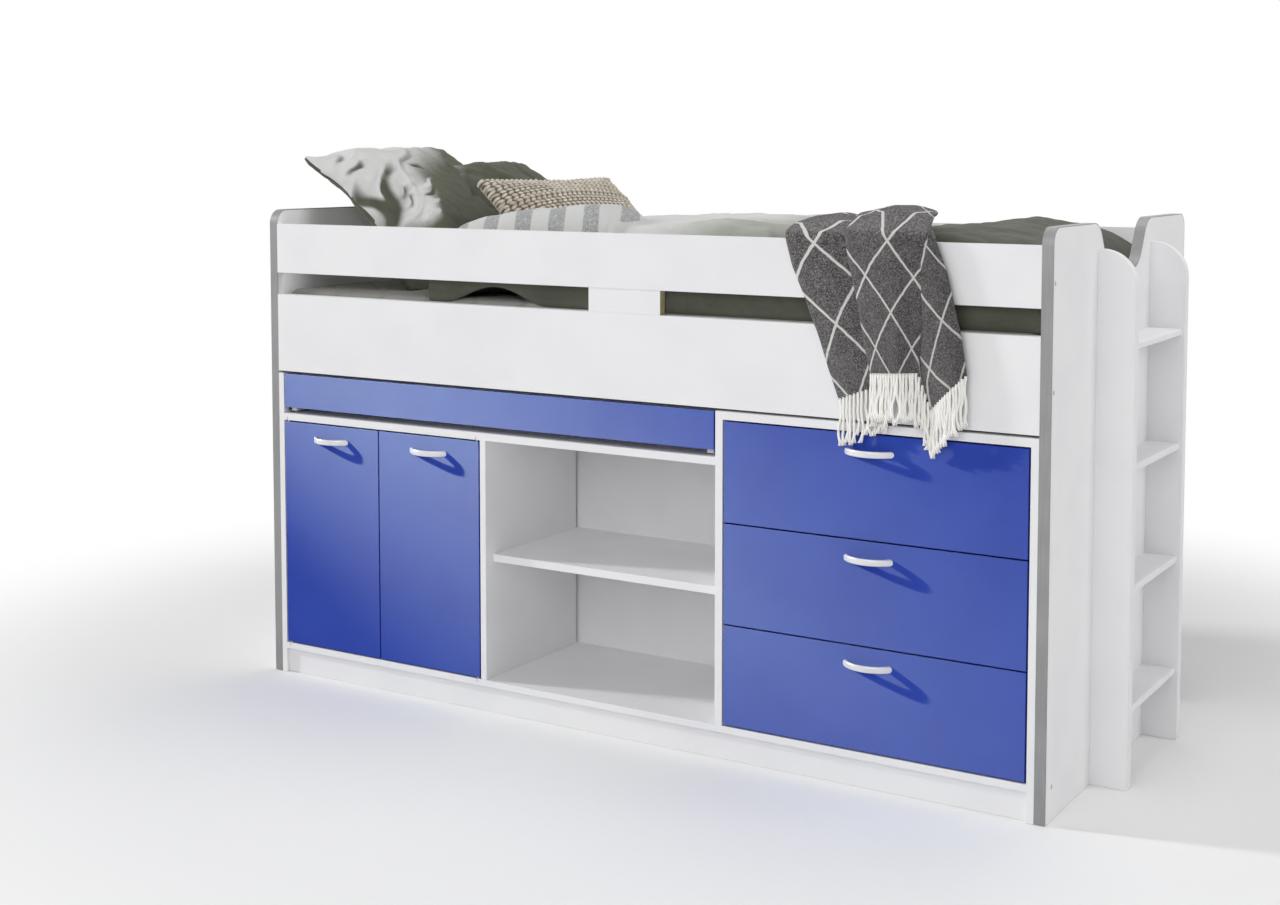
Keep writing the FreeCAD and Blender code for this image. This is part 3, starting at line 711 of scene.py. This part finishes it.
def build_knitted_cushion(yarn):
    """Cushion whose stitches stand out in staggered rows, every ninth row the most."""
    stitch_w, stitch_h, depth = 0.018, 0.0115, 0.0055
    ridge_rows, ridge_height = 9, 1.6
    bm = stuffed((0.49, 0.42, 0.125), cuts=(40, 34), squareness=0.9)
    bmesh.ops.subdivide_edges(bm, edges=bm.edges, cuts=3, use_grid_fill=True)
    smoothed(bm, 0.5)
    bm.normal_update()
    crest = bm.verts.layers.float.new("crest")
    for v in bm.verts:
        row = v.co.y / stitch_h + 0.5
        course = math.floor(row)
        lean = 0.35 * (row - course) * (1 if course % 2 else -1)
        stitch = v.co.x / stitch_w + 0.5 * (course % 2) + lean
        v[crest] = (abs(math.sin(math.pi * stitch)) * abs(math.sin(math.pi * row))) ** 0.6
        raised = ridge_height if course % ridge_rows == 0 else 1.0
        v.co += v.normal * depth * raised * v[crest]
    leaned(bm, -9, (from_head(618), from_front(545), pad_top + 0.133))
    settle(bm, pad_top + cushion_gap, head_outside)
    piece = finish_piece("knitted_cushion_cover", bm, yarn, "oatmeal_knit", "knitted_cushion")


# Duvet

# Heights above the mattress, each as (x from the headboard, height) in millimetres
duvet_stations = ((830, 90), (900, 165), (1050, 165), (1320, 165), (1500, 160), (1740, 180))
turned_stations = ((830, 90), (905, 178), (1050, 182), (1250, 192), (1400, 180), (1445, 90))
corner_stations = (
    (488, 100), (528, 166), (625, 190), (740, 210), (924, 230), (990, 224), (1012, 165), (1030, 110),
)


def profile(stations, x):
    """Smooth height over x through the stations, in metres."""
    for (xa, ha), (xb, hb) in zip(stations, stations[1:]):
        if x <= from_head(xb):
            break
    return (ha + (hb - ha) * ease(x, from_head(xa), from_head(xb))) / 1000


def duvet_crown(x, y):
    """Height of the spread duvet, which falls away in a round slope before the footboard."""
    slope_start, steepness = from_head(1740), 1.2
    past = max(x - slope_start, 0.0)
    return profile(duvet_stations, x) - steepness * past**2


def turned_crown(x, y):
    """Height of the part that is turned down and shows its lining."""
    return profile(turned_stations, x)


def corner_crown(x, y):
    """Height of the corner that is turned back beside the knitted cushion."""
    fall_at_back = 0.18
    return profile(corner_stations, x) * (1 - fall_at_back * ease(y, from_front(160), from_front(296)))


def corner_arch(x, y):
    """Hollow under the turned corner where its two folds part."""
    height, middle, reach = 0.042, from_head(690), 0.15
    return height * hump(x, middle, reach) * (1 - ease(y, from_front(60), from_front(220)))


def lies_flat(x, y):
    return 0.0


def quilt(x_range, y_range, crown, arch, puffs, seed, cuts):
    """Puffy quilt lying on the mattress: crown(x, y) is its height, and its rim rounds down all about.

    Its front rim drops over the rounded edge of the mattress, and arch(x, y) lifts it off again.
    """
    rim_round, rim_height, least_loft, gap = 0.075, 0.022, 0.02, 0.002
    edge_drop, edge_reach = 0.017, 0.024
    fold_height, puff_height, fine_height = 0.013, 0.014, 0.003
    bm = slab(1.0, 1.0, 1.0, *cuts)
    (x0, x1), (y0, y1) = x_range, y_range
    length, width = x1 - x0, y1 - y0
    for v in bm.verts:
        u, w = v.co.x + 0.5, v.co.y + 0.5
        x = x0 + u * length
        y = y0 + w * width
        lift = arch(x, y)
        if v.co.z > 0:
            rim = min(u * length, (1 - u) * length, w * width, (1 - w) * width)
            swell = math.sqrt(1 - (1 - min(rim / rim_round, 1.0)) ** 2)
            at = Vector((x * 3.2, y * 4.6, seed))
            folds = noise.ridged_multi_fractal(at, 0.9, 2.1, 4, 1.0, 2.0) - 1.0
            puff = noise.fractal(Vector((x * 2.1, y * 2.1, seed + 4.0)), 0.7, 2.0, 3)
            fine = noise.fractal(Vector((x * 17.0, y * 11.0, seed + 9.0)), 0.7, 2.0, 3)
            relief = fold_height * folds + puff_height * puff + fine_height * fine
            loft = max(crown(x, y) + puffs * relief - rim_height - lift, least_loft)
            v.co = Vector((x, y, pad_top + rim_height + lift + loft * swell))
        else:
            drop = edge_drop * ease(pad_low.y + edge_reach - y, 0.0, edge_reach)
            v.co = Vector((x, y, pad_top + gap + lift - drop))
    return bm


def duvet_piece(name, bm, finish):
    piece = finish_piece(name, bm, finish, "sage_linen", "duvet")
    subdivided(piece, 1)
    return piece


def build_duvet(linen, lining, striped):
    front, back, tuck_in = from_front(25), from_front(918), 0.004
    foot_gap, outside_height = 0.005, 0.085
    spread_x = (from_head(860), foot_inside - foot_gap)
    spread = quilt(spread_x, (front, back), duvet_crown, lies_flat, puffs=1.0, seed=3.0, cuts=(120, 88))
    duvet_piece("duvet_spread", spread, linen)
    turned_x, turned_y = (from_head(830), from_head(1445)), (front + tuck_in, back - tuck_in)
    turned = quilt(turned_x, turned_y, turned_crown, lies_flat, puffs=0.9, seed=5.0, cuts=(70, 88))
    # The lining turns from its pale colour at the head end to its darker one towards the foot.
    shaded(turned, lambda at: 0.5 * (at.x - from_head(1240)))
    duvet_piece("duvet_turned_down", turned, lining)
    corner_x, corner_y = (from_head(488), from_head(1030)), (front, from_front(300))
    corner = quilt(corner_x, corner_y, corner_crown, corner_arch, puffs=0.5, seed=6.0, cuts=(66, 34))
    # The turned corner takes the lining's pale colour all over.
    shaded(corner, lambda at: -0.2)
    piece = duvet_piece("duvet_turned_corner", corner, striped)
    # The rim below outside_height takes the sage outer fabric: partly the duvet's real outside, partly
    # painted shade that darkens the fold in the shaded gap under the rail.
    piece.data.materials.append(linen.material)
    for face in piece.data.polygons:
        if face.center.z < pad_top + outside_height:
            face.material_index = 1


# Throw

# Fold lines of the hanging throw from its left edge to its right, each as (x from the headboard,
# height) in millimetres from the rail's top down to the hem: the left lobe runs behind the middle
# one, which stands in front, and the right lobe comes out from behind it again
throw_lines = (
    ((1475, 1162), (1492, 1101), (1523, 1033), (1554, 960), (1580, 884), (1604, 822)),
    ((1665, 1172), (1684, 1060), (1700, 960), (1712, 862)),
    ((1619, 1177), (1627, 1119), (1645, 1051), (1661, 975), (1682, 882)),
    ((1806, 1171), (1798, 1124), (1795, 1035), (1790, 952), (1786, 889)),
    ((1735, 1172), (1752, 1000), (1782, 860), (1811, 815)),
    ((1818, 1166), (1845, 1096), (1862, 1029), (1878, 964), (1889, 891)),
)
# Where each fold line lies across the flat cloth, how far it stands off the rail, and how far the cloth
# between two lines bulges, the last two in metres
throw_shares = (0.0, 0.235, 0.33, 0.655, 0.74, 1.0)
throw_layers = (0.003, 0.004, 0.018, 0.018, 0.005, 0.012)
throw_bellies = (0.010, 0.0, 0.011, 0.0, 0.012)
# The heaps of the cloth that lies behind the rail's edge: place and reach across it, and height in metres
throw_heaps = ((0.8, 0.2, 0.014), (0.5, 0.2, 0.008), (0.1, 0.14, 0.008))
throw_width = 0.6
throw_drop = 0.36
throw_lay_back = 0.15
throw_cloth_t = 0.0026
throw_gap = 0.003


def along_line(points, share):
    """Point at a share of the height between the ends of a fold line."""
    z = points[0][1] + share * (points[-1][1] - points[0][1])
    for (xa, za), (xb, zb) in zip(points, points[1:]):
        if z >= zb:
            break
    part = (z - za) / (zb - za)
    return xa + part * (xb - xa), z


def throw_fold(across):
    """Index of the cloth between two fold lines and the share of the way across it."""
    for i in range(len(throw_shares) - 1):
        if across <= throw_shares[i + 1]:
            break
    return i, (across - throw_shares[i]) / (throw_shares[i + 1] - throw_shares[i])


def throw_off(across):
    """How far the cloth stands off what lies under it: flat lobes joined by round folds."""
    roundness, ripple_depth = 0.8, 0.0022
    i, share = throw_fold(across)
    level = throw_layers[i] + (throw_layers[i + 1] - throw_layers[i]) * share
    belly = throw_bellies[i] * math.sin(math.pi * share) ** roundness
    ripple = ripple_depth * noise.noise(Vector((across * 16.0, 0.0, 2.0)))
    return level + belly + ripple


def throw_floor(x, y):
    """Top of what carries the throw behind the front edge: first the rail, then the duvet."""
    duvet_gap, step_down = 0.006, 0.05
    lying = pad_top + duvet_crown(x, y) + duvet_gap
    rail_top = rail_high.z + throw_gap
    return rail_top + (lying - rail_top) * ease(y, rail_high.y, rail_high.y + step_down)


def throw_point(across, down):
    """Place on the throw: down is 0 at the rail's top front edge, 1 at the hem and -1 at the far end."""
    sway_depth = 0.004
    i, share = throw_fold(across)
    drop = max(down, 0.0)
    xa, za = along_line(throw_lines[i], drop)
    xb, zb = along_line(throw_lines[i + 1], drop)
    x = from_head(xa + (xb - xa) * share)
    z = (za + (zb - za) * share) / 1000
    off = throw_off(across)
    if down >= 0:
        sway = sway_depth * noise.noise(Vector((across * 5.0, drop * 3.0, 7.0))) * ease(drop, 0.1, 0.5)
        return Vector((x, rail_low.y - throw_gap - off - abs(sway), z))
    return throw_back_point(across, -down * throw_lay_back, x, max(za, zb) / 1000, off)


def throw_back_point(across, back, x, top, off):
    """Place on the part that turns over the rail's edge, heaps up and lies back on the duvet."""
    turn_length, heap_length, least_heap, crinkle_depth = 0.034, 0.1, 0.012, 0.006
    left_pull, right_pull = 0.15, 0.95
    turn = min(back / turn_length, 1.0)
    y = rail_low.y - (throw_gap + off) * (1 - turn) + back
    heap = least_heap + sum(height * hump(across, place, reach) for place, reach, height in throw_heaps)
    rise = heap * math.sin(math.pi * min(back / heap_length, 1.0) * 0.5) + off
    crinkle = crinkle_depth * noise.noise(Vector((across * 9.0, back * 30.0, 3.0))) * turn
    drawn_in = left_pull + (right_pull - left_pull) * ease(across, 0.5, 1.0)
    return Vector((x - drawn_in * back, y, max(top, throw_floor(x, y)) + rise * turn + crinkle))


def build_throw(wool, fringe):
    columns, rows = 132, 96
    behind = 0.42
    bm = bmesh.new()
    uv = bm.loops.layers.uv.new("cloth")
    bmesh.ops.create_grid(bm, x_segments=columns, y_segments=rows, size=0.5)
    flat = {}
    for v in bm.verts:
        across = v.co.x + 0.5
        down = 1.0 - (v.co.y + 0.5) * (1 + behind)
        flat[v] = (across, down)
        v.co = throw_point(across, min(down, 1.0) if down > 0 else down / behind)
    for face in bm.faces:
        for loop in face.loops:
            across, down = flat[loop.vert]
            loop[uv].uv = (across * throw_width, down * throw_drop)
    smoothed(bm, 0.4)
    piece = finish_piece("throw_cloth", bm, wool, "grey_wool", "throw")
    wall = piece.modifiers.new("cloth_thickness", "SOLIDIFY")
    wall.thickness = throw_cloth_t
    wall.offset = 0.0


# Fringe

yarn_radius = 0.0019
yarn_knot = 0.88
tassel_count = 52
tassel_yarns = 3


def strand(bm, root, length, turn, seed):
    """One yarn of a hanging tassel, wound about the tassel's line, which wavers a little. The yarns are
    knotted near their ends and part below the knot."""
    winding, knot_swell, knot_reach = 9.0, 0.5, 0.06
    off_line, parting, waver_reach = 0.0014, 0.003, 0.013
    first_vert, first_edge = len(bm.verts), len(bm.edges)
    sides = {"segments": 5, "radius1": yarn_radius, "radius2": yarn_radius}
    bmesh.ops.create_cone(bm, cap_ends=True, depth=length, **sides)
    bm.edges.ensure_lookup_table()
    upright = [e for e in bm.edges[first_edge:] if abs(e.verts[0].co.z - e.verts[1].co.z) > length / 2]
    bmesh.ops.subdivide_edges(bm, edges=upright, cuts=11)
    bm.verts.ensure_lookup_table()
    for v in bm.verts[first_vert:]:
        down = 0.5 - v.co.z / length
        swell = 1.0 + knot_swell * hump(down, yarn_knot, knot_reach)
        wound = turn + down * winding
        apart = off_line + parting * ease(down, yarn_knot, 1.0)
        sideways = noise.noise(Vector((down * 2.2, seed, 0.0)))
        forward = 0.5 * noise.noise(Vector((down * 2.2, seed, 5.0)))
        waver = Vector((sideways, forward, 0.0)) * waver_reach * down
        around = Vector((math.cos(wound), 0.6 * math.sin(wound), 0.0)) * apart
        v.co = Vector((v.co.x * swell, v.co.y * swell, -down * length)) + waver + around + root


def build_fringe(yarn):
    """Tassels along the hem, each tied on with a knot."""
    margin, knot_radius, knot_drop, hem_steps = 0.008, 0.0036, 0.006, 40
    mean_length, uneven_by = 0.1, 0.022
    into_hem = Vector((0, -0.001, 0.004))
    bm = bmesh.new()
    for k in range(tassel_count):
        across = margin + (1 - 2 * margin) * k / (tassel_count - 1)
        root = throw_point(across, 1.0) + into_hem
        knot = bmesh.ops.create_icosphere(bm, subdivisions=1, radius=knot_radius)
        bmesh.ops.scale(bm, vec=(1.0, 0.8, 1.5), verts=knot["verts"])
        bmesh.ops.translate(bm, vec=root - Vector((0, 0, knot_drop)), verts=knot["verts"])
        length = mean_length + uneven_by * noise.noise(Vector((k * 0.9, 3.0, 1.0)))
        for j in range(tassel_yarns):
            strand(bm, root, length, j * math.tau / tassel_yarns, 10.0 * k)
    piece = finish_piece("throw_fringe", bm, yarn, "grey_wool")
    hem = [throw_point(k / hem_steps, 1.0) for k in range(hem_steps + 1)]
    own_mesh(piece)
    return piece


# Finishes of the frame


def nodes_in(slot):
    """Objects of the CAD nodes that have a material slot of the record."""
    parts = [part for part in frame["record"]["subparts"] if part["material_slot"] == slot]
    return [frame["nodes"][part["node"]] for part in parts]


def dress(node, finish):
    node.data.materials.clear()
    node.data.materials.append(finish.material)


def dress_frame():
    finishes = {
        "white_board": white_board_finish("white_melamine"),
        "blue_front": blue_front_finish(),
        "grey_edge": edge_band_finish(),
        "satin_handle": satin_finish("satin_handle", "E4E4E6", rough=0.3, metal=0.35),
        "zinc_steel": satin_finish("zinc_plate", "B4B6B8", rough=0.34, metal=1.0),
        "white_steel": satin_finish("runner_steel", "8E9092", rough=0.42, metal=0.6),
        "bush_plastic": satin_finish("moulded_bush", "DDDCD8", rough=0.5, metal=0.0),
        "pine": pine_finish(),
    }
    for slot, finish in finishes.items():
        for node in nodes_in(slot):
            dress(node, finish)
    dress(frame["nodes"]["rail_spacer_block"], spacer_finish())


# Floor, light and camera


def build_floor():
    """Pale floor that keeps the bed's shadow and turns white further out."""
    half_size, gap = 30.0, 0.0005
    shadow_radius, white_radius = 1.35, 2.7
    bm = bmesh.new()
    bmesh.ops.create_grid(bm, x_segments=1, y_segments=1, size=half_size)
    bmesh.ops.translate(bm, vec=(0, 0, cad_box[0].z - gap), verts=bm.verts)
    floor = new_object("floor", bm)
    pale = (0.92, 0.92, 0.92, 1)
    paint = Finish("pale_floor", Base_Color=pale, Roughness=0.9, Specular_IOR_Level=0.1)
    radius = paint.node("ShaderNodeVectorMath", {"operation": "LENGTH"}, {0: paint.place()}, out="Value")
    far = radius.eased(shadow_radius, white_radius) * paint.shown()
    lit = Value(paint, paint.surface.outputs[0])
    white = paint.node("ShaderNodeEmission", {}, {"Color": (1, 1, 1, 1), "Strength": 1.0})
    both = paint.node("ShaderNodeMixShader", {}, {0: far, 1: lit, 2: white})
    paint.join(both, paint.tree.nodes["Material Output"].inputs["Surface"])
    floor.data.materials.append(paint.material)


def build_world():
    """White surroundings, which light the bed at a lower strength than they show."""
    strength = 0.33
    world = bpy.data.worlds.new("studio")
    bpy.context.scene.world = world
    world.use_nodes = True
    studio = Nodes(world.node_tree)
    back = studio.tree.nodes["Background"]
    back.inputs["Color"].default_value = (1, 1, 1, 1)
    studio.join(strength + studio.shown() * (1 - strength), back.inputs["Strength"])


def area_light(name, place, target, size, watts):
    light = bpy.data.lights.new(name, "AREA")
    light.shape = "RECTANGLE"
    light.size, light.size_y = size
    light.energy = watts
    lamp = bpy.data.objects.new(name, light)
    lamp.location = place
    lamp.rotation_euler = (Vector(target) - Vector(place)).to_track_quat("-Z", "Y").to_euler()
    bpy.context.scene.collection.objects.link(lamp)
    return lamp


def build_lights():
    middle = (0.0, -0.3, 0.6)
    pillows = (-1.05, -0.2, 1.17)
    area_light("far_key", (-12.7, -3.7, 5.67), middle, size=(1.2, 1.2), watts=1040)
    area_light("front_fill", (1.2, -5.8, 3.2), middle, size=(4.0, 3.0), watts=113)
    area_light("side_fill", (5.5, 0.5, 3.0), middle, size=(3.0, 3.0), watts=78)
    area_light("top_soft", (0.9, 0.3, 3.0), pillows, size=(1.0, 1.0), watts=16)
    build_sheen_light()


def build_sheen_light():
    """Small lamp beyond the head end, which glances off the blue fronts alone."""
    place = (from_head(-3430), from_front(-1115), 2.384)
    drawer_fronts = (from_head(1500), from_front(0), 0.25)
    sheen = area_light("low_sheen", place, drawer_fronts, size=(0.12, 0.12), watts=44)
    sheen.data.spread = math.radians(16)
    sheen.data.color = (0.86, 1.0, 0.93)
    sheen.visible_diffuse = False
    fronts = bpy.data.collections.new("blue_fronts")
    for front in nodes_in("blue_front"):
        fronts.objects.link(front)
    sheen.light_linking.receiver_collection = fronts


def build_camera():
    tilt_down, turn_left = 3.9, 31.748
    camera = bpy.data.cameras.new("camera")
    camera.sensor_fit = "HORIZONTAL"
    camera.sensor_width = 36.0
    camera.lens = 50.07
    camera.shift_y = -0.14
    camera.clip_end = 100.0
    eye = bpy.data.objects.new("camera", camera)
    eye.location = (from_head(3192.6), from_front(-3364.6), 1.3395)
    eye.rotation_euler = (math.radians(90 - tilt_down), 0.0, math.radians(turn_left))
    bpy.context.scene.collection.objects.link(eye)
    bpy.context.scene.camera = eye


def main():
    bpy.context.scene.view_settings.view_transform = "Standard"
    build_world()
    build_lights()
    build_floor()
    build_camera()
    dress_frame()
    build_mattress(ticking_finish())
    # The pillow linen's pale colour is painted light, where the lamp falls.
    build_pillows(linen_finish("pillow_linen", "646655", "54564A", pale_and_lit_colour="E2E2E1"))
    build_knitted_cushion(knit_finish())
    linen = linen_finish("sage_linen", "5A5C50", "4A4C41")
    lining = linen_finish("pale_lining", "A3A69D", "90938A", pale_and_lit_colour="D2D3D1")
    striped = linen_finish("striped_linen", "A3A69D", "90938A", pale_and_lit_colour="CFD0CE", stripe="8B8D8F")
    build_duvet(linen, lining, striped)
    build_throw(wool_finish(), build_fringe(fringe_finish()))


main()
